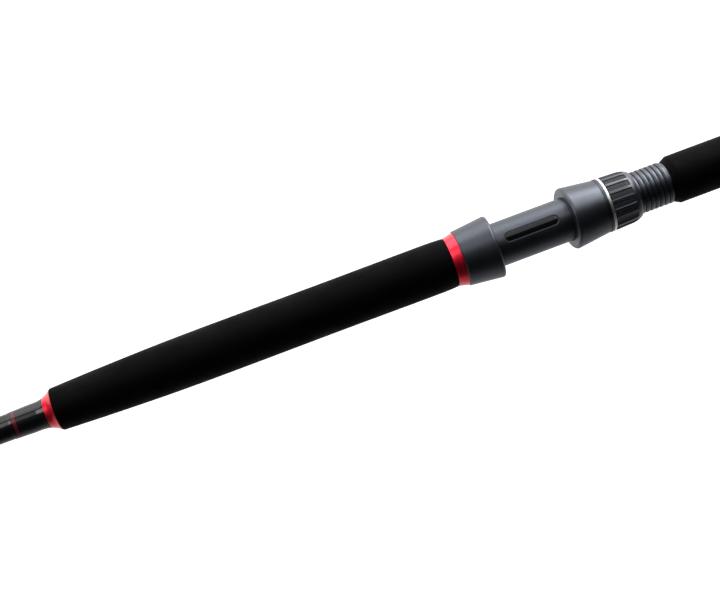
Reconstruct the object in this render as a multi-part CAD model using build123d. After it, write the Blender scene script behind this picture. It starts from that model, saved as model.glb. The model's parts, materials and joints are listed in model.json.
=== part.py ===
from build123d import *
import math
import os

# A two-piece boat fishing rod, 1.80 m long, with a screw-locking reel seat.
# The rod's axis is X, from the middle of the butt end face towards the tip.
# The nameplate faces +Z. The reel foot and the line guides are on the -Z side.

# ---- whole rod ----
ROD_LENGTH = 1800.0
CAP_END = 30.0
GRIP_START = 36.0
SEAT_START = 316.4
SEAT_END = 451.1
FOREGRIP_START = 457.4
FOREGRIP_END = 707.8
CHECK_END = 713.5
CHECK_WRAP_END = 731.2
CHECK_BAND_END = 733.1
CHECK_COLLAR_END = 735.6
BUTT_BLANK_END = 896.0
TIP_BLANK_START = 900.0
TIP_BLANK_END = 1794.0

# ---- blank ----
BLANK_START = 4.0
BUTT_BLANK_TAPER = 0.001
BUTT_BLANK_R = 8.75
BUTT_BLANK_WALL = 1.2
TIP_BLANK_R = 7.75
TIP_BLANK_TIP_R = 1.6
TIP_BLANK_WALL = 1.1
SPIGOT_START = 840.0
SPIGOT_END = 966.0
SPIGOT_GAP = 0.08
SPIGOT_BORE_R = 4.5

# ---- grips ----
CAP_R = 16.0
TRIM_RING_R = 15.5
GRIP_R = 14.95
GRIP_CHAMFER = 4.3
GRIP_FRONT_R = 12.6

# ---- reel seat ----
SEAT_R = 13.5
SEAT_BORE_R = 9.9
THREAD_CREST_R = 13.25
THREAD_END = 358.0
THREAD_PITCH = 3.1
THREAD_DEPTH = 1.1
THREAD_SHOULDER = 0.85
THREAD_GROOVE_WIDTH = 0.8
THREAD_PHASE = 23.0
FOOT_FLAT_START = 360.0
FOOT_FLAT_END = 441.0
FOOT_FLAT_DROP = 11.2
KEYWAY_START = 343.0
KEYWAY_WIDTH = 3.2
KEYWAY_DROP = 11.5
TENON_R = 11.5
SLOT_LENGTH = 35.2
SLOT_WIDTH = 6.8
SLOT_CENTRE = 406.3
SLOT_FLOOR = 12.65
PLATE_LENGTH = 33.4
PLATE_WIDTH = 5.0
PLATE_R = 13.4
ARBOR_LENGTH = 22.0
ARBOR_STARTS = {"rear": 322.0, "middle": 372.0, "front": 424.0}

# ---- hoods, lock nut and the sleeve that joins them ----
RUNNING_R = 13.8
FIXED_LIP = 428.5
FIXED_LIP_R = 19.65
FIXED_LIP_TILT = 2.2
FIXED_SMALL_R = 17.25
FIXED_POCKET_END = 441.0
MOVING_START = 357.75
MOVING_LIP = 382.1
MOVING_LIP_R = 19.5
MOVING_LIP_TILT = 4.6
MOVING_BAND_END = 359.8
MOVING_BAND_R = 16.95
MOVING_NECK_R = 16.7
MOVING_POCKET_START = 372.0
POCKET_R = 17.6
POCKET_WIDTH = 15.0
CUSHION = 0.8
KEY_START = 365.0
KEY_END = 371.0
KEY_WIDTH = 2.6
KEY_DROP = 11.85
LIP_ROUND = 1.7
LIP_SPARE = 4.0
NUT_START = 337.9
NUT_END = 355.95
NUT_SHOULDER = 343.9
NUT_SHOULDER_R = 16.45
NUT_R = 17.0
NUT_MOUTH_R = 14.25
NUT_THREAD_END = 343.5
NUT_THREAD_BORE_R = 13.55
NUT_CHAMBER_END = 346.5
NUT_CHAMBER_R = 15.25
NUT_BORE_R = 14.7
RIB_COUNT = 18
RIB_ANGLE = 6.8
PAD_DEPTH = 0.55
PAD_START = 341.6
PAD_START_R = 15.45
RING_START = 356.15
RING_END = 357.75
RING_R = 17.05
SLEEVE_START = 343.9
SLEEVE_END = 364.0
SLEEVE_R = 14.35
SNAP_START = 344.4
SNAP_END = 345.6
SNAP_GROOVE_R = 14.1
SNAP_R = 14.9

# ---- guides: position of the ring, its inner radius and its drop below the rod's axis ----
GUIDES = (
    (985.0, 12.5, 34.0),
    (1160.0, 10.0, 28.0),
    (1315.0, 8.0, 23.0),
    (1455.0, 6.5, 19.0),
    (1580.0, 5.5, 16.5),
    (1695.0, 5.0, 14.5),
)
RING_WALL = 0.9
HOLDER_WALL = 1.0
HOLDER_WIDTH = 2.4
INSERT_WIDTH = 2.8
WIRE_R = 0.8
WIRE_OVERRUN = 0.6
LEG_SPREAD = 50.0
FOOT_LENGTH = 15.0
FOOT_WIDTH = 3.2
FOOT_THICK = 1.0
WRAP_THICK = 0.35
WRAP_LENGTH = 16.0
FOOT_WRAP_R = 2.1
TIP_RING_R = 5.0
TIP_RING_DROP = 8.5
TIP_TUBE_START = 1776.0
TIP_TUBE_R = 2.5
FERRULE_WRAP = 24.0
BAND_WIDTH = 1.9


def butt_blank(x):
    return BUTT_BLANK_R - BUTT_BLANK_TAPER * x


def tip_blank(x):
    share = (x - TIP_BLANK_START) / (TIP_BLANK_END - TIP_BLANK_START)
    return TIP_BLANK_R + (TIP_BLANK_TIP_R - TIP_BLANK_R) * share


def turned(*points):
    """A solid turned about X from (x, radius) points."""
    return revolve(make_face(Polyline(*points, close=True)), Axis.X)


def turned_edges(*edges):
    """A solid turned about X from the edges of a closed outline."""
    return revolve(make_face(Curve() + list(edges)), Axis.X)


def tube(start, end, inner, outer):
    return turned((start, inner), (end, inner), (end, outer), (start, outer))


def on_blank(start, end, outer_start, outer_end, blank=butt_blank):
    """A sleeve that fits the tapered blank, with its own tapered outside."""
    return turned(
        (start, blank(start)), (end, blank(end)), (end, outer_end), (start, outer_start)
    )


def block(low, high):
    size = [high[i] - low[i] for i in range(3)]
    middle = [(high[i] + low[i]) / 2 for i in range(3)]
    return Pos(*middle) * Box(*size)


def wire(start, end, radius):
    """A straight round bar, a little longer than its run at both ends."""
    run = Vector(*end) - Vector(*start)
    plane = Plane(origin=start, z_dir=run)
    return plane * Pos(0, 0, run.length / 2) * Cylinder(radius, run.length + WIRE_OVERRUN)


def lip_edges(solid, x, radius):
    """The circular edge of a turned solid at a given place."""
    return [
        edge
        for edge in solid.edges().filter_by(GeomType.CIRCLE)
        if abs(edge.arc_center.X - x) < 0.01 and abs(edge.radius - radius) < 0.01
    ]


# ---- butt end and grips ----
def butt_cap():
    shell = turned((0, 0), (CAP_END, 0), (CAP_END, CAP_R), (0, CAP_R))
    shell = fillet(lip_edges(shell, 0, CAP_R), 3.0)
    return shell - on_blank(BLANK_START, CAP_END + 1, 0, 0)


def butt_trim_ring():
    ring = on_blank(CAP_END, GRIP_START, TRIM_RING_R + 0.3, TRIM_RING_R)
    return chamfer(lip_edges(ring, CAP_END, TRIM_RING_R + 0.3), 0.4)


def rear_grip():
    return turned(
        (GRIP_START, butt_blank(GRIP_START)),
        (SEAT_START, butt_blank(SEAT_START)),
        (SEAT_START, GRIP_FRONT_R),
        (SEAT_START - GRIP_CHAMFER, GRIP_R),
        (GRIP_START + 1.0, GRIP_R),
        (GRIP_START, GRIP_R - 0.8),
    )


def foregrip():
    start, end = FOREGRIP_START, FOREGRIP_END
    back = Spline((start, 15.05), (start + 3.1, 15.37), (start + 8, 15.6), (start + 21, 15.63))
    middle = Spline(
        (start + 21, 15.63), (start + 79, 15.48), (start + 140, 15.62), (start + 168, 15.54)
    )
    front = Spline(
        (start + 168, 15.54), (start + 192, 15.15), (start + 225, 14.15), (end, 13.1)
    )
    return turned_edges(
        back,
        middle,
        front,
        Line((end, 13.1), (end, butt_blank(end))),
        Line((end, butt_blank(end)), (start, butt_blank(start))),
        Line((start, butt_blank(start)), (start, 15.05)),
    )


def foregrip_ring():
    ring = turned(
        (SEAT_END, TENON_R), (FOREGRIP_START, TENON_R), (FOREGRIP_START, 15.15), (SEAT_END, 16.75)
    )
    return chamfer(lip_edges(ring, SEAT_END, 16.75), 0.25)


def winding_check():
    start, end = FOREGRIP_END, CHECK_END
    return turned_edges(
        ThreePointArc((start, 12.8), (start + 2.6, 10.95), (end, 9.5)),
        Line((end, 9.5), (end, butt_blank(end))),
        Line((end, butt_blank(end)), (start, butt_blank(start))),
        Line((start, butt_blank(start)), (start, 12.8)),
    )


def check_wrap():
    start, end = CHECK_END, CHECK_WRAP_END
    return turned_edges(
        Spline(
            (start, 9.5), (start + 2.2, 8.95), (start + 5, 8.6), (start + 10, 8.58), (end, 8.37)
        ),
        Line((end, 8.37), (end, butt_blank(end))),
        Line((end, butt_blank(end)), (start, butt_blank(start))),
        Line((start, butt_blank(start)), (start, 9.5)),
    )


# ---- blank ----
def hollow_cone(start, end, outline, wall):
    return turned(
        (start, outline(start) - wall),
        (end, outline(end) - wall),
        (end, outline(end)),
        (start, outline(start)),
    )


def spigot():
    inner_butt = [(x, butt_blank(x) - BUTT_BLANK_WALL) for x in (SPIGOT_START, BUTT_BLANK_END)]
    inner_tip = [
        (x, tip_blank(x) - TIP_BLANK_WALL - SPIGOT_GAP) for x in (TIP_BLANK_START, SPIGOT_END)
    ]
    bore = [(SPIGOT_END, SPIGOT_BORE_R), (SPIGOT_START, SPIGOT_BORE_R)]
    return turned(*inner_butt, *inner_tip, *bore)


# ---- reel seat ----
def thread_ridge():
    """One round-topped screw ridge round the barrel's core."""
    core = THREAD_CREST_R - THREAD_DEPTH
    top = (THREAD_PITCH - THREAD_GROOVE_WIDTH) / 2
    foot = top + 0.1
    path = Helix(THREAD_PITCH, THREAD_END - SEAT_START - 2 * foot, core)
    sides = Polyline((THREAD_SHOULDER, -top), (-0.1, -foot), (-0.1, foot), (THREAD_SHOULDER, top))
    crown = ThreePointArc((THREAD_SHOULDER, top), (THREAD_DEPTH, 0), (THREAD_SHOULDER, -top))
    section = Plane(origin=path @ 0, x_dir=(1, 0, 0), z_dir=path % 0) * make_face(sides + crown)
    ridge = sweep(section, path=path, is_frenet=True)
    return Pos(SEAT_START + foot, 0, 0) * Rot(0, 90, 0) * Rot(0, 0, THREAD_PHASE) * ridge


def seat_body():
    core = tube(SEAT_START, THREAD_END, SEAT_BORE_R, THREAD_CREST_R - THREAD_DEPTH)
    body = tube(THREAD_END, SEAT_END, SEAT_BORE_R, SEAT_R)
    tenon = tube(SEAT_END, FOREGRIP_START, SEAT_BORE_R, TENON_R)
    half = KEYWAY_WIDTH / 2
    keyway = block((KEYWAY_START, -half, -20), (FOOT_FLAT_START + 1, half, -KEYWAY_DROP))
    flat = block((FOOT_FLAT_START, -20, -20), (FOOT_FLAT_END, 20, -FOOT_FLAT_DROP))
    seat = core + thread_ridge() - keyway
    return seat + body + tenon - keyway - flat - stadium(SLOT_LENGTH, SLOT_WIDTH, SLOT_FLOOR)


def stadium(length, width, floor):
    """A round-ended bar above the tube's axis, from the slot's floor upwards."""
    outline = SlotOverall(length, width)
    return Pos(SLOT_CENTRE, 0, floor) * extrude(outline, amount=3.0)


def nameplate():
    plate = stadium(PLATE_LENGTH, PLATE_WIDTH, SLOT_FLOOR)
    return plate & tube(SLOT_CENTRE - 30, SLOT_CENTRE + 30, 5, PLATE_R)


def arbor(start):
    end = start + ARBOR_LENGTH
    return on_blank(start, end, SEAT_BORE_R, SEAT_BORE_R)


def pocket_space(start, end, inner, outer, width):
    """The part of a ring that lies under the rod, within a given width."""
    space = tube(start, end, inner, outer)
    return space & block((start, -width / 2, -30), (end, width / 2, -FOOT_FLAT_DROP + 1.5))


def slanted_lip(hood, x, facing, tilt):
    """Cuts a hood off so that it reaches further over the reel foot than over the nameplate."""
    turn = math.radians(tilt)
    cut = Plane(origin=(x, 0, 0), z_dir=(facing * math.cos(turn), 0, math.sin(turn)))
    hood -= cut * Pos(0, 0, 10) * Box(60, 60, 20)
    rims = [
        edge
        for edge in hood.edges()
        if all(abs(cut.to_local_coords(edge @ place).Z) < 0.01 for place in (0.0, 0.25, 0.5, 0.75))
    ]
    return hood, sorted(rims, key=lambda edge: edge.length)


def fixed_hood():
    slope = (FIXED_LIP_R - FIXED_SMALL_R) / (SEAT_END - FIXED_LIP)
    start = FIXED_LIP - LIP_SPARE
    hood = turned(
        (start, SEAT_R),
        (SEAT_END, SEAT_R),
        (SEAT_END, FIXED_SMALL_R),
        (start, FIXED_LIP_R + slope * LIP_SPARE),
    )
    hood = chamfer(lip_edges(hood, SEAT_END, FIXED_SMALL_R), 0.3)
    hood, rims = slanted_lip(hood, FIXED_LIP, -1, FIXED_LIP_TILT)
    hood = fillet(rims[-1], LIP_ROUND)
    return hood - pocket_space(FIXED_LIP - 2, FIXED_POCKET_END, 9, POCKET_R, POCKET_WIDTH)


def cushion(start, end):
    return pocket_space(start, end, POCKET_R - CUSHION, POCKET_R, POCKET_WIDTH - 2.0)


def moving_hood():
    slope = (MOVING_LIP_R - MOVING_NECK_R) / (MOVING_LIP - MOVING_BAND_END)
    end = MOVING_LIP + LIP_SPARE
    hood = turned(
        (MOVING_START, RUNNING_R),
        (end, RUNNING_R),
        (end, MOVING_LIP_R + slope * LIP_SPARE),
        (MOVING_BAND_END, MOVING_NECK_R),
        (MOVING_BAND_END, MOVING_BAND_R - 0.5),
        (MOVING_BAND_END - 0.5, MOVING_BAND_R - 0.5),
        (MOVING_BAND_END - 0.5, MOVING_BAND_R),
        (MOVING_START + 0.7, MOVING_BAND_R),
        (MOVING_START + 0.7, MOVING_BAND_R - 0.5),
        (MOVING_START, MOVING_BAND_R - 0.5),
    )
    hood, rims = slanted_lip(hood, MOVING_LIP, 1, MOVING_LIP_TILT)
    hood = fillet(rims[-1], LIP_ROUND)
    hood -= tube(MOVING_START - 1, SLEEVE_END, RUNNING_R - 1, SLEEVE_R)
    hood -= pocket_space(MOVING_POCKET_START, MOVING_LIP + 3, 9, POCKET_R, POCKET_WIDTH)
    half = KEY_WIDTH / 2
    key = block((KEY_START, -half, -RUNNING_R - 0.5), (KEY_END, half, -KEY_DROP))
    return hood + key


def hood_ring():
    """The bright ring is the flange of a thin sleeve that joins the nut to the hood."""
    flange = tube(RING_START, RING_END, RUNNING_R, RING_R)
    flange = fillet(lip_edges(flange, RING_START, RING_R), 0.4)
    sleeve = tube(SLEEVE_START, SLEEVE_END, RUNNING_R, SLEEVE_R)
    groove = tube(SNAP_START, SNAP_END, SNAP_GROOVE_R, SLEEVE_R + 1)
    return flange + sleeve - groove


def snap_ring():
    return tube(SNAP_START, SNAP_END, SNAP_GROOVE_R, SNAP_R)


def lock_nut():
    round_end = ThreePointArc(
        (NUT_START, NUT_MOUTH_R), (NUT_START + 2.2, 15.55), (NUT_SHOULDER, NUT_SHOULDER_R)
    )
    corners = [
        (NUT_SHOULDER, NUT_SHOULDER_R),
        (NUT_END, NUT_R),
        (NUT_END, NUT_BORE_R),
        (NUT_CHAMBER_END, NUT_BORE_R),
        (NUT_CHAMBER_END, NUT_CHAMBER_R),
        (NUT_THREAD_END, NUT_CHAMBER_R),
        (NUT_THREAD_END, NUT_THREAD_BORE_R),
        (NUT_START, NUT_THREAD_BORE_R),
        (NUT_START, NUT_MOUTH_R),
    ]
    nut = turned_edges(round_end, Polyline(*corners))
    pad_face = make_face(
        Polyline(
            (PAD_START, PAD_START_R),
            (NUT_SHOULDER, NUT_SHOULDER_R - PAD_DEPTH),
            (NUT_END + 1, NUT_R - PAD_DEPTH),
            (NUT_END + 1, 20),
            (PAD_START, 20),
            close=True,
        )
    )
    step = 360 / RIB_COUNT
    pad = Rot(RIB_ANGLE / 2, 0, 0) * revolve(pad_face, Axis.X, revolution_arc=step - RIB_ANGLE)
    for number in range(RIB_COUNT):
        nut -= Rot(number * step, 0, 0) * pad
    return nut


# ---- guides ----
def holder(x, ring_radius, drop):
    """The flat metal ring that holds the ceramic insert."""
    inner = ring_radius + RING_WALL
    half = HOLDER_WIDTH / 2
    return Pos(0, 0, -drop) * tube(x - half, x + half, inner, inner + HOLDER_WALL)


def insert(x, ring_radius, drop):
    """The ceramic ring that the line runs through."""
    half = INSERT_WIDTH / 2
    ring = tube(x - half, x + half, ring_radius, ring_radius + RING_WALL)
    edges = lip_edges(ring, x - half, ring_radius) + lip_edges(ring, x + half, ring_radius)
    return Pos(0, 0, -drop) * fillet(edges, 0.6)


def leg_end(x, ring_radius, drop, angle):
    """A point on the holder, at an angle from its top."""
    reach = ring_radius + RING_WALL + HOLDER_WALL / 2
    turn = math.radians(angle)
    return (x, reach * math.sin(turn), -drop + reach * math.cos(turn))


def guide_foot(start, seat_radius):
    """A flat foot that lies along the underside of the blank."""
    low = (start, -FOOT_WIDTH / 2, -seat_radius - FOOT_THICK)
    return block(low, (start + FOOT_LENGTH, FOOT_WIDTH / 2, -seat_radius + 0.4))


def guide_parts(x, ring_radius, drop):
    """The frame, the insert and the two thread wraps of one double-footed guide."""
    reach = drop * 0.62
    front = x + reach
    back = x - reach * 0.8 - FOOT_LENGTH
    feet = guide_foot(front, tip_blank(front)) + guide_foot(back, tip_blank(back + FOOT_LENGTH))
    level = -tip_blank(x) - FOOT_THICK / 2
    frame = holder(x, ring_radius, drop) + feet
    for side in (-1, 1):
        start = (front + 1.2, side * (FOOT_WIDTH / 2 - WIRE_R), level - WIRE_R / 2)
        frame += wire(start, leg_end(x, ring_radius, drop, side * LEG_SPREAD), WIRE_R)
    start = (back + FOOT_LENGTH - 1.2, 0, level - WIRE_R / 2)
    frame += wire(start, leg_end(x, ring_radius, drop, 0), WIRE_R)
    frame -= Pos(0, 0, -drop) * tube(x - 5, x + 5, 0.1, ring_radius + RING_WALL)
    frame -= on_blank(back - 30, front + 60, 0, 0, tip_blank)
    wraps = foot_wrap(front + FOOT_LENGTH - WRAP_LENGTH + 4, frame)
    wraps += foot_wrap(back - 4, frame)
    return frame, insert(x, ring_radius, drop), wraps


def foot_wrap(start, frame):
    """Lacquered thread round the blank and over a guide's foot."""
    end = start + WRAP_LENGTH
    sleeve = on_blank(start, end, tip_blank(start) + WRAP_THICK, tip_blank(end) + WRAP_THICK, tip_blank)
    over = Pos(0, 0, -tip_blank(end)) * turned(
        (start, 0), (end, 0), (end, FOOT_WRAP_R), (start, FOOT_WRAP_R)
    )
    return sleeve + over - on_blank(start - 1, end + 1, 0, 0, tip_blank) - frame


def tip_top():
    """The end ring's tube and frame, and its insert."""
    x = ROD_LENGTH - INSERT_WIDTH / 2
    frame = on_blank(TIP_TUBE_START, TIP_BLANK_END, TIP_TUBE_R, TIP_TUBE_R, tip_blank)
    frame += tube(TIP_BLANK_END, TIP_BLANK_END + 1.5, 0.5, TIP_TUBE_R)
    frame += holder(x, TIP_RING_R, TIP_RING_DROP)
    for side in (-1, 1):
        start = (TIP_TUBE_START + 4, side * 1.2, -TIP_TUBE_R)
        frame += wire(start, leg_end(x, TIP_RING_R, TIP_RING_DROP, side * 75), WIRE_R)
    frame += wire((TIP_BLANK_END, 0, -1), leg_end(x, TIP_RING_R, TIP_RING_DROP, 0), WIRE_R)
    frame -= Pos(0, 0, -TIP_RING_DROP) * tube(x - 5, x + 5, 0.1, TIP_RING_R + RING_WALL)
    frame -= block((x + HOLDER_WIDTH / 2, -9, -20), (x + 5, 9, 5))
    frame -= on_blank(TIP_TUBE_START - 1, TIP_BLANK_END, 0, 0, tip_blank)
    return frame, insert(x, TIP_RING_R, TIP_RING_DROP)


def guide_nodes():
    nodes = {}
    for number, (x, ring_radius, drop) in enumerate(GUIDES, start=1):
        frame, ring, wraps = guide_parts(x, ring_radius, drop)
        nodes[f"guide_{number}_frame"] = frame
        nodes[f"guide_{number}_ring"] = ring
        nodes[f"guide_{number}_wraps"] = wraps
    nodes["tip_top_frame"], nodes["tip_top_ring"] = tip_top()
    end = TIP_TUBE_START
    start = end - FERRULE_WRAP / 2
    nodes["tip_top_wrap"] = on_blank(
        start, end, tip_blank(start) + WRAP_THICK, tip_blank(end) + WRAP_THICK, tip_blank
    )
    return nodes


def ferrule_wraps():
    low_start, low_end = BUTT_BLANK_END - FERRULE_WRAP, BUTT_BLANK_END
    up_start, up_end = TIP_BLANK_START, TIP_BLANK_START + FERRULE_WRAP
    low_band, up_band = low_start - BAND_WIDTH, up_end + BAND_WIDTH
    thick = WRAP_THICK
    return {
        "ferrule_wrap_lower": on_blank(
            low_start, low_end, butt_blank(low_start) + thick, butt_blank(low_end) + thick
        ),
        "ferrule_band_lower": on_blank(
            low_band, low_start, butt_blank(low_band) + thick, butt_blank(low_start) + thick
        ),
        "ferrule_wrap_upper": on_blank(
            up_start, up_end, tip_blank(up_start) + thick, tip_blank(up_end) + thick, tip_blank
        ),
        "ferrule_band_upper": on_blank(
            up_end, up_band, tip_blank(up_end) + thick, tip_blank(up_band) + thick, tip_blank
        ),
    }


def rod_nodes():
    nodes = {
        "butt_cap": butt_cap(),
        "butt_trim_ring": butt_trim_ring(),
        "rear_grip": rear_grip(),
        "blank_butt": hollow_cone(BLANK_START, BUTT_BLANK_END, butt_blank, BUTT_BLANK_WALL),
        "seat_body": seat_body(),
        "nameplate": nameplate(),
        "fixed_hood": fixed_hood(),
        "fixed_hood_cushion": cushion(FIXED_LIP + 1.5, FIXED_POCKET_END - 1.0),
        "moving_hood": moving_hood(),
        "moving_hood_cushion": cushion(MOVING_POCKET_START + 1.0, MOVING_LIP - 1.5),
        "hood_ring": hood_ring(),
        "snap_ring": snap_ring(),
        "lock_nut": lock_nut(),
        "foregrip_ring": foregrip_ring(),
        "foregrip": foregrip(),
        "winding_check": winding_check(),
        "check_wrap": check_wrap(),
        "check_band": on_blank(
            CHECK_WRAP_END, CHECK_BAND_END, butt_blank(CHECK_WRAP_END) + WRAP_THICK,
            butt_blank(CHECK_BAND_END) + WRAP_THICK
        ),
        "check_collar": on_blank(
            CHECK_BAND_END, CHECK_COLLAR_END, butt_blank(CHECK_BAND_END) + WRAP_THICK,
            butt_blank(CHECK_COLLAR_END) + WRAP_THICK / 2
        ),
        "ferrule_spigot": spigot(),
        "blank_tip": hollow_cone(TIP_BLANK_START, TIP_BLANK_END, tip_blank, TIP_BLANK_WALL),
    }
    for name, start in ARBOR_STARTS.items():
        nodes[f"seat_arbor_{name}"] = arbor(start)
    nodes.update(ferrule_wraps())
    nodes.update(guide_nodes())
    return nodes


os.makedirs("parts", exist_ok=True)
for name, shape in rod_nodes().items():
    export_step(shape, f"parts/{name}.step")
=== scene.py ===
import json
import math
import bmesh
import bpy
from mathutils import Matrix, Vector


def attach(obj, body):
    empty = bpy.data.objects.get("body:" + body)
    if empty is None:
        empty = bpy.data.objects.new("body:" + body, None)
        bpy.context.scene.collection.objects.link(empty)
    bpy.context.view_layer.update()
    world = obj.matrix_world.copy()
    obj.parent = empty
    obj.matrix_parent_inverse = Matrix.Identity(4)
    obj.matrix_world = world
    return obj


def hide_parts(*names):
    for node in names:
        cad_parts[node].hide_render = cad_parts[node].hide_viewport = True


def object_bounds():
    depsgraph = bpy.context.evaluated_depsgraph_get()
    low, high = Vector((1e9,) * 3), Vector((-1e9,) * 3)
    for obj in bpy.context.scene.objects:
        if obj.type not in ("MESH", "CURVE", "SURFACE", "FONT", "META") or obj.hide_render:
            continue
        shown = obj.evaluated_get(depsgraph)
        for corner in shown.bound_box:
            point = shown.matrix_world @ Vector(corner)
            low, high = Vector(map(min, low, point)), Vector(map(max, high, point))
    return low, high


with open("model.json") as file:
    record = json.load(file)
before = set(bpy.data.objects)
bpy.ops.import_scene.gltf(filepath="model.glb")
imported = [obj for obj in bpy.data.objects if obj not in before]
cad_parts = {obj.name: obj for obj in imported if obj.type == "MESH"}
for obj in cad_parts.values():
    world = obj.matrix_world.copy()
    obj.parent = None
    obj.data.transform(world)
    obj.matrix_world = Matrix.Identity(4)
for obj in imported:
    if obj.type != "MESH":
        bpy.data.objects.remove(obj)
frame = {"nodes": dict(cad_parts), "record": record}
cad_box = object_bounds()

# The rod lies along X from its butt to its tip, with the nameplate facing +Z.
# Lengths are in metres, except under a heading that says millimetres.
MM = 0.001
TAU = 2 * math.pi


# ---------------------------------------------------------------- camera
VIEW_DISTANCE = 0.840
VIEW_TARGET = Vector((0.518, 0, 0))
ROD_ROLL = math.radians(20.47)
ROD_RECEDES = math.radians(3.3)
PLATE_TURN = math.radians(9.0)
TARGET_ALONG = 1.56 * MM
TARGET_ACROSS = 2.13 * MM
LENS_MM = 70.0
SENSOR_MM = 36.0


def view_axes():
    """The camera's right, up and backward directions in the rod's frame."""
    to_butt = Vector((-1, 0, 0))
    across = Vector((0, -math.cos(PLATE_TURN), math.sin(PLATE_TURN)))
    outward = Vector((0, math.sin(PLATE_TURN), math.cos(PLATE_TURN)))
    along = to_butt * math.cos(ROD_RECEDES) + outward * math.sin(ROD_RECEDES)
    back = outward * math.cos(ROD_RECEDES) - to_butt * math.sin(ROD_RECEDES)
    right = along * math.cos(ROD_ROLL) - across * math.sin(ROD_ROLL)
    up = along * math.sin(ROD_ROLL) + across * math.cos(ROD_ROLL)
    return right, up, back, along, across


def add_camera():
    right, up, back, along, across = view_axes()
    data = bpy.data.cameras.new("camera")
    data.lens = LENS_MM
    data.sensor_width = SENSOR_MM
    data.clip_start = 0.01
    camera = bpy.data.objects.new("camera", data)
    bpy.context.scene.collection.objects.link(camera)
    place = VIEW_TARGET + back * VIEW_DISTANCE + along * TARGET_ALONG - across * TARGET_ACROSS
    turn = Matrix((right, up, back)).transposed().to_4x4()
    camera.matrix_world = Matrix.Translation(place) @ turn
    bpy.context.scene.camera = camera


# ---------------------------------------------------------------- floor and light
FLOOR_SIZE = 30.0
FLOOR_CENTRE_X = 0.9
FLOOR_GAP = 0.0005
FLOOR_GLOW = 1.0
# Painted light: for light and reflections the floor glows brightly on the key side and almost
# not at all on the far side.
FLOOR_GLOW_KEY_SIDE = 0.85
FLOOR_GLOW_FAR_SIDE = 0.03
FLOOR_FADE_START = -0.08
FLOOR_FADE_END = 0.16


def add_floor():
    mesh = bmesh.new()
    bmesh.ops.create_grid(mesh, x_segments=1, y_segments=1, size=FLOOR_SIZE)
    centre = (FLOOR_CENTRE_X, 0, cad_box[0].z - FLOOR_GAP)
    bmesh.ops.translate(mesh, verts=mesh.verts, vec=centre)
    floor = finished(mesh, "floor")
    floor.data.materials.append(glowing_floor())


def glowing_floor():
    material, nodes, links, shader = new_material("glowing_floor")
    shader.inputs["Base Color"].default_value = (0.5, 0.5, 0.5, 1)
    shader.inputs["Roughness"].default_value = 0.9
    shader.inputs["Specular IOR Level"].default_value = 0.0
    shader.inputs["Emission Color"].default_value = (1, 1, 1, 1)
    place = nodes.new("ShaderNodeTexCoord")
    split = nodes.new("ShaderNodeSeparateXYZ")
    links.new(place.outputs["Object"], split.inputs["Vector"])
    # Painted light: the floor's glow by side lights the rod and shows in its reflections; the
    # camera sees the floor evenly at FLOOR_GLOW.
    beside = nodes.new("ShaderNodeMapRange")
    beside.interpolation_type = "SMOOTHSTEP"
    beside.inputs["From Min"].default_value = FLOOR_FADE_START
    beside.inputs["From Max"].default_value = FLOOR_FADE_END
    beside.inputs["To Min"].default_value = FLOOR_GLOW_KEY_SIDE
    beside.inputs["To Max"].default_value = FLOOR_GLOW_FAR_SIDE
    links.new(split.outputs["Y"], beside.inputs["Value"])
    glow = seen_strength(nodes, links, beside.outputs["Result"], FLOOR_GLOW)
    links.new(glow, shader.inputs["Emission Strength"])
    return material


def seen_strength(nodes, links, unseen, seen):
    """One strength where the camera looks, and another for what is lit or mirrored."""
    path = nodes.new("ShaderNodeLightPath")
    level = nodes.new("ShaderNodeMapRange")
    level.inputs["To Max"].default_value = seen
    if isinstance(unseen, float):
        level.inputs["To Min"].default_value = unseen
    else:
        links.new(unseen, level.inputs["To Min"])
    links.new(path.outputs["Is Camera Ray"], level.inputs["Value"])
    return level.outputs["Result"]


def add_softbox(name, place, aim, size, power, tint):
    data = bpy.data.lights.new(name, "AREA")
    data.shape = "RECTANGLE"
    data.size, data.size_y = size
    data.energy = power
    data.color = tint
    light = bpy.data.objects.new(name, data)
    bpy.context.scene.collection.objects.link(light)
    back = (Vector(place) - Vector(aim)).normalized()
    side = Vector((1, 0, 0))
    turn = Matrix((side, back.cross(side), back)).transposed().to_4x4()
    light.matrix_world = Matrix.Translation(Vector(place)) @ turn


# name, place, aim, size, power in watts, tint
SOFTBOXES = (
    ("key", (0.45, -1.0, 0.38), (0.45, 0, 0.30), (2.0, 0.80), 13.0, (0.98, 0.99, 1.0)),
    ("top_panel", (0.50, -0.45, 0.98), (0.50, 0, 0), (1.9, 0.50), 3.1, (1, 1, 1)),
    ("butt_key", (-0.30, -0.65, 0.46), (0.25, 0, 0.08), (0.5, 1.0), 8.0, (1, 1, 1)),
    ("tip_key", (1.30, -0.40, 0.75), (0.65, 0, 0), (0.6, 0.6), 4.5, (1, 1, 1)),
    ("low_fill", (0.50, 1.2, 0.26), (0.50, 0, 0.05), (2.4, 0.42), 0.12, (1, 1, 1)),
)
WORLD_GLOW = 0.005
WORLD_SEEN = 1.0


def add_lights():
    """A wide key beside the rod, dimmer panels above and past its ends, and a faint fill."""
    for softbox in SOFTBOXES:
        add_softbox(*softbox)
    world = bpy.data.worlds.new("studio")
    bpy.context.scene.world = world
    world.use_nodes = True
    nodes, links = world.node_tree.nodes, world.node_tree.links
    pale = nodes["Background"]
    pale.inputs["Color"].default_value = (1, 1, 1, 1)
    links.new(seen_strength(nodes, links, WORLD_GLOW, WORLD_SEEN), pale.inputs["Strength"])
    bpy.context.scene.view_settings.view_transform = "Standard"


# ---------------------------------------------------------------- mesh helpers
ARC_STEP_DEGREES = 12
MERGE_DISTANCE = 0.002 * MM


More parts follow.
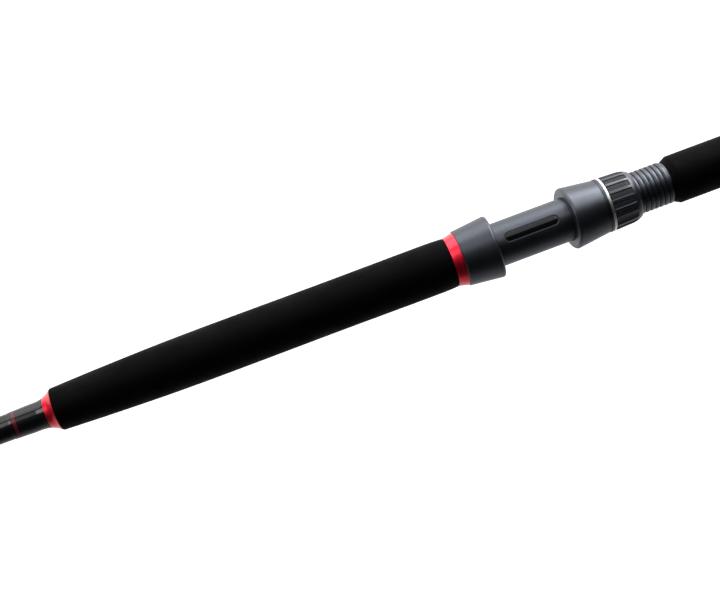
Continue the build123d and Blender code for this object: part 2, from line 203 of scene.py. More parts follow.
def finished(mesh, name, sharp_degrees=35):
    """Turns a bmesh into an object at the origin, smooth apart from its sharp edges."""
    data = bpy.data.meshes.new(name)
    mesh.to_mesh(data)
    mesh.free()
    data.shade_smooth()
    data.set_sharp_from_angle(angle=math.radians(sharp_degrees))
    piece = bpy.data.objects.new(name, data)
    bpy.context.scene.collection.objects.link(piece)
    return piece


def smooth_line(points, steps=8):
    """(x, radius, 0) corners on a smooth curve through the given (x, radius) points."""
    slopes = []
    for index in range(len(points)):
        before = points[max(index - 1, 0)]
        after = points[min(index + 1, len(points) - 1)]
        slopes.append((after[1] - before[1]) / (after[0] - before[0]))
    line = []
    for (x, radius), (end_x, end_radius), slope, end_slope in zip(
        points, points[1:], slopes, slopes[1:]
    ):
        run = end_x - x
        for step in range(steps):
            t = step / steps
            low, high = (1 + 2 * t) * (1 - t) ** 2, t * t * (3 - 2 * t)
            bend = t * (1 - t) ** 2 * run * slope - t * t * (1 - t) * run * end_slope
            line.append((x + t * run, low * radius + high * end_radius + bend, 0))
    return line + [(*points[-1], 0)]


def rounded(outline):
    """A closed outline of (x, radius, rounding) corners, with rounded corners made arcs."""
    points = []
    count = len(outline)
    for index, (x, radius, rounding) in enumerate(outline):
        corner = Vector((x, radius))
        if not rounding:
            points.append(corner)
            continue
        before = (Vector(outline[index - 1][:2]) - corner).normalized()
        after = (Vector(outline[(index + 1) % count][:2]) - corner).normalized()
        half = before.angle(after) / 2
        reach = rounding / math.tan(half)
        centre = corner + (before + after).normalized() * (rounding / math.sin(half))
        first = corner + before * reach - centre
        sweep = first.angle_signed(corner + after * reach - centre)
        steps = max(3, round(abs(sweep) / math.radians(ARC_STEP_DEGREES)))
        for step in range(steps + 1):
            turn = Matrix.Rotation(-sweep * step / steps, 2)
            points.append(centre + turn @ first)
    return points


def spun(name, outline, steps=160):
    """A closed piece turned about the rod's axis from an outline in millimetres."""
    mesh = bmesh.new()
    corners = [mesh.verts.new((x * MM, radius * MM, 0)) for x, radius in rounded(outline)]
    edges = [mesh.edges.new(pair) for pair in zip(corners, corners[1:] + corners[:1])]
    bmesh.ops.spin(
        mesh, geom=corners + edges, cent=(0, 0, 0), axis=(1, 0, 0), angle=TAU, steps=steps,
        use_merge=True,
    )
    bmesh.ops.remove_doubles(mesh, verts=mesh.verts, dist=MERGE_DISTANCE)
    bmesh.ops.recalc_face_normals(mesh, faces=mesh.faces)
    return finished(mesh, name)


def stands_for(piece, node, materials):
    """The piece takes a CAD node's place, its body and its material slot."""
    record = frame["record"]
    body = next(b for b, nodes in record["behaviour"]["bodies"].items() if node in nodes)
    slot = next(part["material_slot"] for part in record["subparts"] if part["node"] == node)
    piece.data.materials.append(materials[slot])
    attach(piece, body)
    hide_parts(node)
    return piece


def join_loops(mesh, loops):
    """Quads between each closed loop of corners and the next one."""
    for first, second in zip(loops, loops[1:]):
        for index in range(len(first)):
            after = (index + 1) % len(first)
            mesh.faces.new((first[index], first[after], second[after], second[index]))


# ---------------------------------------------------------------- turned pieces, in millimetres
BUTT_RADIUS = 8.75
BUTT_TAPER = 0.001
BUTT_WALL = 1.2
BUTT_START, BUTT_END = 4, 896
TIP_RADIUS = 7.75
TIP_FALL = 6.15
TIP_WALL = 1.1
TIP_START, TIP_END = 900, 1794
BLANK_EDGE = 0.12
WRAP_THICK = 0.35
CAP_RADIUS = 16.0
CAP_END = 30
TRIM_END = 36
GRIP_END = 316.4
RING_START = 451.1
FOREGRIP_START = 457.4
FOREGRIP_END = 707.8
CHECK_END = 713.5
CHECK_WRAP_END = 731.2
CHECK_BAND_END = 733.1
CHECK_COLLAR_END = 735.6
FERRULE_WRAP_START = 872
FERRULE_WRAP_END = 924
BAND_LENGTH = 1.9


def butt_blank(x):
    """The outer radius of the butt blank."""
    return BUTT_RADIUS - BUTT_TAPER * x


def tip_blank(x):
    """The outer radius of the tip blank."""
    return TIP_RADIUS - TIP_FALL * (x - TIP_START) / (TIP_END - TIP_START)


def butt_trim(x):
    return 15.8 - 0.05 * (x - CAP_END)


def butt_wrap(x):
    return butt_blank(x) + WRAP_THICK


def tip_wrap(x):
    return tip_blank(x) + WRAP_THICK


def sleeve(start, end, outer, rounding, blank=butt_blank):
    """A tapered sleeve on the blank, with rounded outer ends."""
    return [
        (start, blank(start), 0),
        (end, blank(end), 0),
        (end, outer(end), rounding),
        (start, outer(start), rounding),
    ]


def tube_outline(start, end, blank, wall):
    return [
        (start, blank(start) - wall, 0),
        (end, blank(end) - wall, 0),
        (end, blank(end), BLANK_EDGE),
        (start, blank(start), BLANK_EDGE),
    ]


def foregrip_outline():
    line = smooth_line(
        [
            (457.9, 15.2), (460.5, 15.38), (465.4, 15.58), (478.4, 15.62), (536.4, 15.47),
            (597.4, 15.60), (625.4, 15.52), (649.4, 15.13), (682.4, 14.13), (707.2, 13.1),
        ],
        12,
    )
    front = [(FOREGRIP_END, 12.6, 0), (FOREGRIP_END, butt_blank(FOREGRIP_END), 0)]
    back = [(FOREGRIP_START, butt_blank(FOREGRIP_START), 0), (FOREGRIP_START, 14.7, 0)]
    return line + front + back


def thread_outline(points):
    """A wrap with a smooth outside, down to the blank at both ends."""
    start, end = points[0][0], points[-1][0]
    return smooth_line(points) + [(end, butt_blank(end), 0), (start, butt_blank(start), 0)]


def ring_outline():
    """The bright flange and the thin sleeve that it belongs to."""
    return [
        (343.9, 13.8, 0), (364.0, 13.8, 0), (364.0, 14.35, 0), (357.75, 14.35, 0),
        (357.75, 17.05, 0.25), (356.15, 17.05, 0.5), (356.15, 14.35, 0), (345.6, 14.35, 0),
        (345.6, 14.1, 0), (344.4, 14.1, 0), (344.4, 14.35, 0), (343.9, 14.35, 0),
    ]


def turned_outlines():
    """The outline of each piece that is turned about the rod's axis."""
    return {
        "butt_cap": [
            (0, 0, 0), (BUTT_START, 0, 0), (BUTT_START, 8.746, 0), (CAP_END, 8.72, 0),
            (CAP_END, CAP_RADIUS, 0.6), (0, CAP_RADIUS, 3.0),
        ],
        "butt_trim_ring": sleeve(CAP_END, TRIM_END, butt_trim, 0.35),
        "rear_grip": [
            (TRIM_END, butt_blank(TRIM_END), 0), (GRIP_END, butt_blank(GRIP_END), 0),
            (GRIP_END, 12.6, 0.3), (312.1, 14.95, 1.2), (37.0, 14.95, 0.5),
            (TRIM_END, 14.15, 0.3),
        ],
        "blank_butt": tube_outline(BUTT_START, BUTT_END, butt_blank, BUTT_WALL),
        "blank_tip": tube_outline(TIP_START, TIP_END, tip_blank, TIP_WALL),
        "foregrip": foregrip_outline(),
        "foregrip_ring": [
            (RING_START, 11.5, 0), (FOREGRIP_START, 11.5, 0), (FOREGRIP_START, 15.15, 0.15),
            (RING_START, 16.75, 0.3),
        ],
        "winding_check": [
            (FOREGRIP_END, butt_blank(FOREGRIP_END), 0), (FOREGRIP_END, 12.72, 0),
            *smooth_line([(707.9, 12.72), (710.4, 10.93), (CHECK_END, 9.48)]),
            (CHECK_END, butt_blank(CHECK_END), 0),
        ],
        "check_wrap": thread_outline(
            [
                (CHECK_END, 9.45), (715.7, 8.93), (718.5, 8.6), (723.5, 8.57),
                (CHECK_WRAP_END, 8.36),
            ]
        ),
        "check_band": sleeve(CHECK_WRAP_END, CHECK_BAND_END, butt_wrap, 0.08),
        "check_collar": [
            (CHECK_BAND_END, butt_blank(CHECK_BAND_END), 0),
            (CHECK_COLLAR_END, butt_blank(CHECK_COLLAR_END), 0),
            (CHECK_COLLAR_END, 8.19, 0.1), (CHECK_BAND_END, 8.36, 0.08),
        ],
        "hood_ring": ring_outline(),
        "ferrule_wrap_lower": sleeve(FERRULE_WRAP_START, BUTT_END, butt_wrap, 0.3),
        "ferrule_band_lower": sleeve(
            FERRULE_WRAP_START - BAND_LENGTH, FERRULE_WRAP_START, butt_wrap, 0.08
        ),
        "ferrule_wrap_upper": sleeve(TIP_START, FERRULE_WRAP_END, tip_wrap, 0.3, tip_blank),
        "ferrule_band_upper": sleeve(
            FERRULE_WRAP_END, FERRULE_WRAP_END + BAND_LENGTH, tip_wrap, 0.08, tip_blank
        ),
        "tip_top_wrap": sleeve(1764, 1776, tip_wrap, 0.3, tip_blank),
    }


def add_turned_pieces(materials):
    for node, outline in turned_outlines().items():
        piece = stands_for(spun(node + "_turned", outline), node, materials)


# ---------------------------------------------------------------- lock nut, in millimetres
RIBS = 18
RIB_STEP = 360 / RIBS
RIB_HALF = 3.4
RIB_EDGE = 1.5
# Degrees from a rib's middle to the middle of the next pad, close together at the rib's edge.
RIB_SHARE = [0, 1.4, 2.3, 2.65, 2.95, 3.25, 3.55, 3.85, 4.15, 4.7, 6.2, 8.1, 10]
PAD_FALL = 0.52
PAD_START = 341.6
PAD_END_RAMP = 0.4
NUT_SHARP_DEGREES = 50


def eased(value):
    value = min(max(value, 0.0), 1.0)
    return value * value * (3 - 2 * value)


def nut_angles():
    """Angles round the nut, close together at the edges of its ribs."""
    step = RIB_SHARE + [RIB_STEP - angle for angle in reversed(RIB_SHARE[1:-1])]
    return [RIB_STEP * rib + angle for rib in range(RIBS) for angle in step]


def pad_share(angle):
    """0 on a rib and 1 on a pad."""
    off = abs((angle + RIB_STEP / 2) % RIB_STEP - RIB_STEP / 2)
    return eased((off - RIB_HALF + RIB_EDGE / 2) / RIB_EDGE)


def nut_outline():
    """(x, radius, pad fall) all round the nut's section, from the mouth along its outside."""
    back = smooth_line([(338.05, 14.4), (339.0, 15.0), (340.1, 15.52), (341.2, 15.87)], 4)
    middle = smooth_line(
        [(341.2, 15.87), (342.0, 16.08), (343.9, 16.43), (349.9, 16.72), (355.7, 16.98)], 8
    )
    points = [(338.0, 14.25, 0.0)]
    for x, radius, _ in back[:-1] + middle:
        points.append((x, radius, PAD_FALL * eased((x - PAD_START) / PAD_END_RAMP)))
    points.append((355.95, 16.75, PAD_FALL))
    inside = [
        (355.95, 14.7), (346.5, 14.7), (346.5, 15.25), (343.5, 15.25), (343.5, 13.55),
        (338.0, 13.55),
    ]
    return points + [(x, radius, 0.0) for x, radius in inside]


def add_lock_nut(materials):
    mesh = bmesh.new()
    pad = mesh.verts.layers.float.new("pad")
    angles = nut_angles()
    rings = []
    for x, radius, fall in nut_outline():
        ring = []
        for angle in angles:
            share = pad_share(angle)
            turn = math.radians(angle)
            reach = (radius - fall * share) * MM
            vert = mesh.verts.new((x * MM, reach * math.cos(turn), reach * math.sin(turn)))
            vert[pad] = share * fall / PAD_FALL
            ring.append(vert)
        rings.append(ring)
    join_loops(mesh, rings + rings[:1])
    bmesh.ops.recalc_face_normals(mesh, faces=mesh.faces)
    piece = finished(mesh, "lock_nut_ribbed", NUT_SHARP_DEGREES)
    stands_for(piece, "lock_nut", materials)


# ---------------------------------------------------------------- nameplate, in millimetres
PLATE_CENTRE = 406.3
PLATE_HALF = 16.7
PLATE_WIDE = 2.5
PLATE_FLOOR = 12.65
PLATE_TOP = 13.39
PLATE_END_STEPS = 16
PLATE_SHARP_DEGREES = 40
# (inset from the plate's edge, drop below its crown), from the edge to the middle
PLATE_STEPS = (
    (0.0, 0.3), (0.06, 0.12), (0.2, 0.03), (0.45, 0.0), (0.9, 0.0), (1.4, 0.0), (1.9, 0.0),
    (2.35, 0.0),
)


def plate_loop(mesh, inset, floor=None, drop=0.0):
    """One round-ended loop of the nameplate, at the floor or a little below its crowned top."""
    reach = PLATE_WIDE - inset
    straight = PLATE_HALF - PLATE_WIDE
    loop = []
    for side in (1, -1):
        for step in range(PLATE_END_STEPS + 1):
            turn = math.radians(-90 + 180 * step / PLATE_END_STEPS)
            x = PLATE_CENTRE + side * (straight + reach * math.cos(turn))
            y = side * reach * math.sin(turn)
            z = floor or math.sqrt(PLATE_TOP ** 2 - y * y) - drop
            loop.append(mesh.verts.new((x * MM, y * MM, z * MM)))
    return loop


def add_nameplate(materials):
    mesh = bmesh.new()
    loops = [plate_loop(mesh, 0.0, PLATE_FLOOR)]
    for inset, drop in PLATE_STEPS:
        loops.append(plate_loop(mesh, inset, drop=drop))
    join_loops(mesh, loops)
    mesh.faces.new(loops[0])
    mesh.faces.new(loops[-1])
    bmesh.ops.recalc_face_normals(mesh, faces=mesh.faces)
    piece = finished(mesh, "nameplate_crowned", PLATE_SHARP_DEGREES)
    stands_for(piece, "nameplate", materials)


# ---------------------------------------------------------------- shader helpers
def new_material(name):
    material = bpy.data.materials.new(name)
    material.use_nodes = True
    nodes, links = material.node_tree.nodes, material.node_tree.links
    return material, nodes, links, nodes["Principled BSDF"]


def math_node(tree, operation, first, second=None):
    node = tree.nodes.new("ShaderNodeMath")
    node.operation = operation
    for socket, value in zip(node.inputs, (first, second)):
        if value is None:
            continue
        if isinstance(value, (int, float)):
            socket.default_value = value
        else:
            tree.links.new(value, socket)
    return node.outputs["Value"]


def new_group(name, inputs, outputs):
    """An empty shader group, from (name, default) inputs and (name, type) outputs."""
    tree = bpy.data.node_groups.new(name, "ShaderNodeTree")
    for label, default in inputs:
        kind = "NodeSocketFloat" if isinstance(default, (int, float)) else "NodeSocketColor"
        if default is None:
            kind = "NodeSocketVector"
        socket = tree.interface.new_socket(label, in_out="INPUT", socket_type=kind)
        if default is not None:
            socket.default_value = default
    for label, kind in outputs:
        tree.interface.new_socket(label, in_out="OUTPUT", socket_type=kind)
    return tree, tree.nodes.new("NodeGroupInput"), tree.nodes.new("NodeGroupOutput")


def noise(tree, vector, scale, detail=2.0, roughness=0.5):
    node = tree.nodes.new("ShaderNodeTexNoise")
    node.inputs["Detail"].default_value = detail
    node.inputs["Roughness"].default_value = roughness
    tree.links.new(vector, node.inputs["Vector"])
    if isinstance(scale, (int, float)):
        node.inputs["Scale"].default_value = scale
    else:
        tree.links.new(scale, node.inputs["Scale"])
    return node.outputs["Fac"]


def mixed(tree, amount, first, second):
    """A colour between two colours or colour sockets."""
    node = tree.nodes.new("ShaderNodeMix")
    node.data_type = "RGBA"
    tree.links.new(amount, node.inputs["Factor"])
    for socket, value in ((node.inputs[6], first), (node.inputs[7], second)):
        if isinstance(value, tuple):
            socket.default_value = (*value, 1)
        else:
            tree.links.new(value, socket)
    return node.outputs[2]


def ranged(tree, value, low, high, to_low, to_high):
    node = tree.nodes.new("ShaderNodeMapRange")
    tree.links.new(value, node.inputs["Value"])
    for label, number in (
        ("From Min", low), ("From Max", high), ("To Min", to_low), ("To Max", to_high)
    ):
        if isinstance(number, (int, float)):
            node.inputs[label].default_value = number
        else:
            tree.links.new(number, node.inputs[label])
    return node.outputs["Result"]


def group_in(material, tree, **values):
    """A shared group in a material, fed with Object coordinates and numbers or sockets."""
    nodes, links = material.node_tree.nodes, material.node_tree.links
    node = nodes.new("ShaderNodeGroup")
    node.node_tree = tree
    place = nodes.new("ShaderNodeTexCoord")
    links.new(place.outputs["Object"], node.inputs["Place"])
    for label, value in values.items():
        socket = node.inputs[label.replace("_", " ")]
        if isinstance(value, (int, float)):
            socket.default_value = value
        else:
            links.new(value, socket)
    return node.outputs


def bump_from(material, height, distance, under=None):
    nodes, links = material.node_tree.nodes, material.node_tree.links
    bump = nodes.new("ShaderNodeBump")
    bump.inputs["Distance"].default_value = distance
    bump.inputs["Strength"].default_value = 1.0
    links.new(height, bump.inputs["Height"])
    if under is not None:
        links.new(under, bump.inputs["Normal"])
    return bump.outputs["Normal"]


# ---------------------------------------------------------------- shared effects
def make_grain():
    """The fine grain of moulded or cast surfaces, with slow patches of handling."""
    tree, given, made = new_group(
        "moulded_grain",
        [("Place", None), ("Grain per metre", 2500.0), ("Patches per metre", 30.0)],
        [("Height", "NodeSocketFloat"), ("Patches", "NodeSocketFloat")],
    )
    fine = noise(tree, given.outputs["Place"], given.outputs["Grain per metre"], 3.0, 0.6)
    slow = noise(tree, given.outputs["Place"], given.outputs["Patches per metre"], 4.0, 0.65)
    tree.links.new(fine, made.inputs["Height"])
    tree.links.new(slow, made.inputs["Patches"])
    return tree


def make_turning():
    """Fine lines round the rod's axis, as a lathe leaves them."""
    tree, given, made = new_group(
        "turning_marks",
        [("Place", None), ("Lines per metre", 6000.0)],
        [("Height", "NodeSocketFloat"), ("Streaks", "NodeSocketFloat")],
    )
    split = tree.nodes.new("ShaderNodeSeparateXYZ")
    tree.links.new(given.outputs["Place"], split.inputs["Vector"])
    squares = [math_node(tree, "POWER", split.outputs[axis], 2.0) for axis in ("Y", "Z")]
    radius = math_node(tree, "SQRT", math_node(tree, "ADD", *squares))
    across = math_node(tree, "ADD", split.outputs["X"], radius)
    line = tree.nodes.new("ShaderNodeCombineXYZ")
    tree.links.new(across, line.inputs["X"])
    fine = noise(tree, line.outputs["Vector"], given.outputs["Lines per metre"], 2.0, 0.7)
    slow = noise(tree, line.outputs["Vector"], 900.0, 2.0, 0.5)
    tree.links.new(fine, made.inputs["Height"])
    tree.links.new(slow, made.inputs["Streaks"])
    return tree


def make_foam():
    """Closed-cell foam that was ground to size: pores, a fine nap and slow shading."""
    tree, given, made = new_group(
        "ground_foam",
        [("Place", None), ("Pores per metre", 1500.0)],
        [(name, "NodeSocketFloat") for name in ("Height", "Nap", "Patches")],
    )
    cells = tree.nodes.new("ShaderNodeTexVoronoi")
    tree.links.new(given.outputs["Place"], cells.inputs["Vector"])
    tree.links.new(given.outputs["Pores per metre"], cells.inputs["Scale"])
    pores = ranged(tree, cells.outputs["Distance"], 0.1, 0.45, 0.0, 1.0)
    nap = noise(tree, given.outputs["Place"], 3800.0, 3.0, 0.7)
    slow = noise(tree, given.outputs["Place"], 55.0, 4.0, 0.6)
    height = math_node(tree, "ADD", math_node(tree, "MULTIPLY", pores, 0.55), nap)
    tree.links.new(height, made.inputs["Height"])
    tree.links.new(nap, made.inputs["Nap"])
    tree.links.new(slow, made.inputs["Patches"])
    return tree


def make_winding():
    """Thread wound side by side round the rod, seen through lacquer."""
    tree, given, made = new_group(
        "wound_thread",
        [("Place", None), ("Threads per metre", 3200.0)],
        [(name, "NodeSocketFloat") for name in ("Height", "Groove", "Twist")],
    )
    split = tree.nodes.new("ShaderNodeSeparateXYZ")
    tree.links.new(given.outputs["Place"], split.inputs["Vector"])
    turns = math_node(tree, "MULTIPLY", split.outputs["X"], given.outputs["Threads per metre"])
    wave = math_node(tree, "SINE", math_node(tree, "MULTIPLY", turns, math.pi))
    ridge = math_node(tree, "ABSOLUTE", wave)
    tree.links.new(ridge, made.inputs["Height"])
    tree.links.new(ranged(tree, ridge, 0.0, 0.45, 1.0, 0.0), made.inputs["Groove"])
    twist = noise(tree, given.outputs["Place"], 2600.0, 2.0, 0.5)
    tree.links.new(twist, made.inputs["Twist"])
    return tree


def make_hatch():
    """Slanted cuts across the nut's pads, the same number all round; their mask also places
    painted shade in the cuts.
    """
    tree, given, made = new_group(
        "cut_hatch",
        [("Place", None), ("Pad", 0.0), ("Cuts per turn", 36.0), ("Cuts per metre", 1000.0)],
        [("Height", "NodeSocketFloat"), ("Cut_and_shade", "NodeSocketFloat")],
    )
    split = tree.nodes.new("ShaderNodeSeparateXYZ")
    tree.links.new(given.outputs["Place"], split.inputs["Vector"])
    angle = math_node(tree, "ARCTAN2", split.outputs["Z"], split.outputs["Y"])
    round_turn = math_node(tree, "MULTIPLY", angle, given.outputs["Cuts per turn"])
    round_turn = math_node(tree, "DIVIDE", round_turn, TAU)
    along = math_node(tree, "MULTIPLY", split.outputs["X"], given.outputs["Cuts per metre"])
    phase = math_node(tree, "MULTIPLY", math_node(tree, "SUBTRACT", round_turn, along), math.pi)
    wave = math_node(tree, "ABSOLUTE", math_node(tree, "SINE", phase))
    groove = ranged(tree, wave, 0.35, 0.65, 1.0, 0.0)
    cut_and_shade = math_node(tree, "MULTIPLY", groove, given.outputs["Pad"])
    tree.links.new(math_node(tree, "SUBTRACT", 1.0, cut_and_shade), made.inputs["Height"])
    tree.links.new(cut_and_shade, made.inputs["Cut_and_shade"])
    return tree


GRAIN = make_grain()
HATCH = make_hatch()
TURNING = make_turning()
FOAM = make_foam()
WINDING = make_winding()


# ---------------------------------------------------------------- materials
# The part of a noise's range that most of its values lie in.
MIDDLE = (0.3, 0.7)
SEAT_DARK = (0.0006, 0.0008, 0.0015)
SEAT_LIGHT = (0.0014, 0.0018, 0.0030)
SEAT_SHEEN = (0.80, 0.86, 1.0, 1)
SEAT_IOR = 1.62
SEAT_GRAIN = 2600.0
SEAT_GRAIN_DEPTH = 0.012 * MM
RIB_DARK = (0.0024, 0.0042, 0.0110)
RIB_LIGHT = (0.0036, 0.0060, 0.0150)
PAD_COLOUR = (0.008, 0.008, 0.011)
# Painted shade: near black in the nut's slanted cuts.
CUT_PAINTED_SHADE = (0.001, 0.001, 0.001)
CUT_DEPTH = 0.14 * MM
ARBOR_DARK = (0.25, 0.23, 0.20)
ARBOR_LIGHT = (0.36, 0.34, 0.30)
BLACK_SHADOW = (0.0005, 0.0005, 0.0008)
BLACK_THREAD = (0.0025, 0.0027, 0.0040)
RED_SHADOW = (0.03, 0.001, 0.002)
RED_THREAD = (0.16, 0.006, 0.011)


def satin_plastic(name, dark, light, roughness, grain=SEAT_GRAIN):
    """Glass-filled moulded plastic with a soft satin face."""
    material, _, links, shader = new_material(name)
    made = group_in(material, GRAIN, Grain_per_metre=grain)
    tree = material.node_tree
    links.new(mixed(tree, made["Patches"], dark, light), shader.inputs["Base Color"])
    rough = ranged(tree, made["Patches"], *MIDDLE, roughness - 0.035, roughness + 0.035)
    links.new(rough, shader.inputs["Roughness"])
    grained = bump_from(material, made["Height"], SEAT_GRAIN_DEPTH)
    links.new(grained, shader.inputs["Normal"])
    return material


def coated(material):
    """The bluish metallic sheen of the seat's coating."""
    shader = material.node_tree.nodes["Principled BSDF"]
    shader.inputs["Specular IOR Level"].default_value = 1.0
    shader.inputs["IOR"].default_value = SEAT_IOR
    shader.inputs["Specular Tint"].default_value = SEAT_SHEEN
    return material


def nut_plastic():
    """The seat's coating on the ribs, and dull slanted cuts on the pads, with painted shade
    making the cuts near black.
    """
    material, nodes, links, shader = new_material("nut_graphite")
    tree = material.node_tree
    pad = nodes.new("ShaderNodeAttribute")
    pad.attribute_name = "pad"
    on_pad = pad.outputs["Fac"]
    grain = group_in(material, GRAIN, Grain_per_metre=SEAT_GRAIN)
    hatch = group_in(material, HATCH, Pad=on_pad)
    plain = mixed(tree, grain["Patches"], RIB_DARK, RIB_LIGHT)
    dull = mixed(tree, on_pad, plain, PAD_COLOUR)
    # Painted shade: the slanted cuts are coloured near black.
    links.new(mixed(tree, hatch["Cut_and_shade"], dull, CUT_PAINTED_SHADE), shader.inputs["Base Color"])
    links.new(ranged(tree, on_pad, 0.0, 1.0, 0.38, 0.75), shader.inputs["Roughness"])
    ribs = ranged(tree, on_pad, 0.0, 0.7, 0.7, 0.0)
    lands = math_node(tree, "SUBTRACT", on_pad, hatch["Cut_and_shade"])
    coat = math_node(tree, "ADD", ribs, math_node(tree, "MULTIPLY", lands, 0.22))
    links.new(coat, shader.inputs["Coat Weight"])
    shader.inputs["Coat Roughness"].default_value = 0.38
    shader.inputs["Coat IOR"].default_value = 1.7
    grained = bump_from(material, grain["Height"], SEAT_GRAIN_DEPTH)
    hatched = bump_from(material, hatch["Height"], CUT_DEPTH, under=grained)
    links.new(hatched, shader.inputs["Normal"])
    coated(material)
    shader.inputs["Specular IOR Level"].default_value = 0.45
    return material


def black_foam():
    material, _, links, shader = new_material("black_foam")
    made = group_in(material, FOAM)
    tree = material.node_tree
    nap = mixed(tree, made["Nap"], (0.0001, 0.0001, 0.0001), (0.0006, 0.0006, 0.0007))
    colour = mixed(tree, made["Patches"], nap, (0.0004, 0.0004, 0.0005))
    links.new(colour, shader.inputs["Base Color"])
    rubbed = ranged(tree, made["Patches"], 0.35, 0.65, -0.08, 0.08)
    rough = math_node(tree, "ADD", ranged(tree, made["Nap"], *MIDDLE, 0.55, 0.68), rubbed)
    links.new(rough, shader.inputs["Roughness"])
    shader.inputs["Specular IOR Level"].default_value = 0.05
    links.new(bump_from(material, made["Height"], 0.05 * MM), shader.inputs["Normal"])
    return material


def red_anodised():
    material, _, links, shader = new_material("red_anodised")
    made = group_in(material, TURNING)
    tree = material.node_tree
    shader.inputs["Metallic"].default_value = 1.0
    colour = mixed(tree, made["Streaks"], (0.84, 0.008, 0.032), (0.98, 0.014, 0.055))
    links.new(colour, shader.inputs["Base Color"])
    links.new(ranged(tree, made["Streaks"], *MIDDLE, 0.40, 0.48), shader.inputs["Roughness"])
    shader.inputs["Coat Weight"].default_value = 1.0
    shader.inputs["Coat Roughness"].default_value = 0.22
    links.new(bump_from(material, made["Height"], 0.004 * MM), shader.inputs["Normal"])
    return material


def bright_steel():
    material, _, links, shader = new_material("bright_steel")
    made = group_in(material, TURNING, Lines_per_metre=9000.0)
    tree = material.node_tree
    shader.inputs["Metallic"].default_value = 1.0
    colour = mixed(tree, made["Streaks"], (0.84, 0.82, 0.78), (0.92, 0.90, 0.87))
    links.new(colour, shader.inputs["Base Color"])
    links.new(ranged(tree, made["Streaks"], *MIDDLE, 0.34, 0.42), shader.inputs["Roughness"])
    links.new(bump_from(material, made["Height"], 0.0006 * MM), shader.inputs["Normal"])
    return material


def lacquered_blank():
    material, _, links, shader = new_material("lacquered_blank")
    made = group_in(material, GRAIN, Grain_per_metre=420.0, Patches_per_metre=60.0)
    tree = material.node_tree
    colour = mixed(tree, made["Patches"], (0.0030, 0.0028, 0.0042), (0.0055, 0.0052, 0.0070))
    links.new(colour, shader.inputs["Base Color"])
    links.new(ranged(tree, made["Patches"], *MIDDLE, 0.20, 0.27), shader.inputs["Roughness"])
    shader.inputs["Specular IOR Level"].default_value = 0.38
    links.new(bump_from(material, made["Height"], 0.01 * MM), shader.inputs["Normal"])
    return material


def lacquered_thread(name, shadow, thread):
    material, _, links, shader = new_material(name)
    made = group_in(material, WINDING)
    tree = material.node_tree
    wound = mixed(tree, made["Twist"], thread, tuple(0.7 * part for part in thread))
    links.new(mixed(tree, made["Groove"], wound, shadow), shader.inputs["Base Color"])
    links.new(ranged(tree, made["Groove"], 0.0, 1.0, 0.42, 0.6), shader.inputs["Roughness"])
    shader.inputs["Specular IOR Level"].default_value = 0.15
    shader.inputs["Coat Weight"].default_value = 0.65
    shader.inputs["Coat Roughness"].default_value = 0.08
    links.new(bump_from(material, made["Height"], 0.05 * MM), shader.inputs["Normal"])
    return material


def gloss_badge():
    material, _, links, shader = new_material("gloss_badge")
    made = group_in(material, GRAIN, Grain_per_metre=300.0, Patches_per_metre=200.0)
    tree = material.node_tree
    colour = mixed(tree, made["Patches"], (0.002, 0.002, 0.003), (0.005, 0.005, 0.006))
    links.new(colour, shader.inputs["Base Color"])
    links.new(ranged(tree, made["Patches"], *MIDDLE, 0.07, 0.12), shader.inputs["Roughness"])
    links.new(bump_from(material, made["Height"], 0.004 * MM), shader.inputs["Normal"])
    return material


def soft_rubber():
    material, _, links, shader = new_material("soft_rubber")
    made = group_in(material, GRAIN, Grain_per_metre=1800.0)
    tree = material.node_tree
    colour = mixed(tree, made["Patches"], (0.012, 0.012, 0.013), (0.022, 0.022, 0.023))
    links.new(colour, shader.inputs["Base Color"])
    links.new(ranged(tree, made["Patches"], *MIDDLE, 0.6, 0.75), shader.inputs["Roughness"])
    links.new(bump_from(material, made["Height"], 0.02 * MM), shader.inputs["Normal"])
    return material


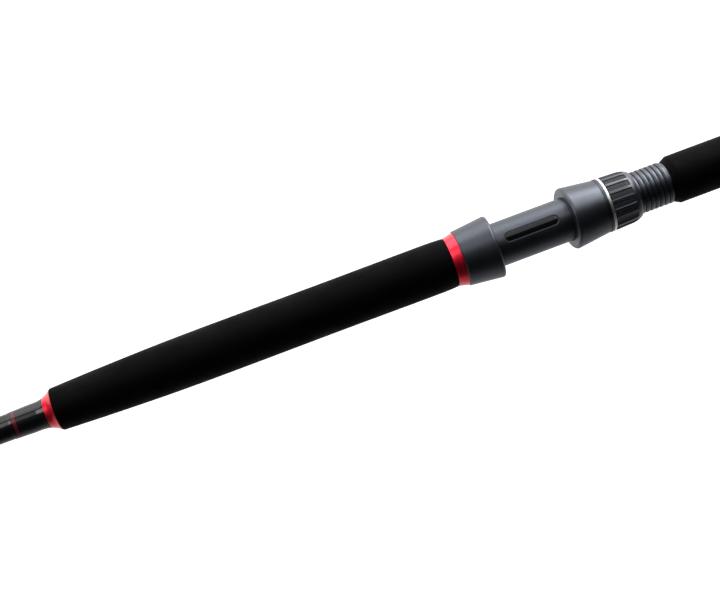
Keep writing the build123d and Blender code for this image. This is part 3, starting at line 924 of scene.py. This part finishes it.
def dark_chrome():
    material, _, links, shader = new_material("dark_chrome")
    made = group_in(material, GRAIN, Grain_per_metre=1200.0, Patches_per_metre=150.0)
    tree = material.node_tree
    shader.inputs["Metallic"].default_value = 1.0
    colour = mixed(tree, made["Patches"], (0.16, 0.16, 0.175), (0.26, 0.26, 0.275))
    links.new(colour, shader.inputs["Base Color"])
    links.new(ranged(tree, made["Patches"], *MIDDLE, 0.14, 0.24), shader.inputs["Roughness"])
    links.new(bump_from(material, made["Height"], 0.003 * MM), shader.inputs["Normal"])
    return material


def polished_ceramic():
    material, _, links, shader = new_material("polished_ceramic")
    made = group_in(material, GRAIN, Grain_per_metre=2500.0, Patches_per_metre=300.0)
    tree = material.node_tree
    colour = mixed(tree, made["Patches"], (0.028, 0.029, 0.034), (0.045, 0.046, 0.052))
    links.new(colour, shader.inputs["Base Color"])
    links.new(ranged(tree, made["Patches"], *MIDDLE, 0.10, 0.18), shader.inputs["Roughness"])
    links.new(bump_from(material, made["Height"], 0.002 * MM), shader.inputs["Normal"])
    return material


def make_materials():
    """One material for each slot in the record."""
    graphite = coated(satin_plastic("seat_graphite", SEAT_DARK, SEAT_LIGHT, 0.38))
    return {
        "rubber_cap": soft_rubber(),
        "red_anodised": red_anodised(),
        "eva_foam": black_foam(),
        "seat_graphite": graphite,
        "lock_nut": nut_plastic(),
        "badge_gloss": gloss_badge(),
        "hood_rubber": soft_rubber(),
        "polished_steel": bright_steel(),
        "arbor": satin_plastic("arbor_fibre", ARBOR_DARK, ARBOR_LIGHT, 0.8, 1200.0),
        "blank_gloss": lacquered_blank(),
        "spigot": lacquered_blank(),
        "thread_wrap": lacquered_thread("black_thread", BLACK_SHADOW, BLACK_THREAD),
        "red_thread": lacquered_thread("red_thread", RED_SHADOW, RED_THREAD),
        "guide_steel": dark_chrome(),
        "guide_ceramic": polished_ceramic(),
    }


def dress_nodes(materials):
    """Every CAD node gets the material of its slot."""
    for part in frame["record"]["subparts"]:
        node = frame["nodes"][part["node"]]
        node.data.materials.clear()
        node.data.materials.append(materials[part["material_slot"]])


add_camera()
add_floor()
add_lights()
MATERIALS = make_materials()
dress_nodes(MATERIALS)
add_turned_pieces(MATERIALS)
add_lock_nut(MATERIALS)
add_nameplate(MATERIALS)
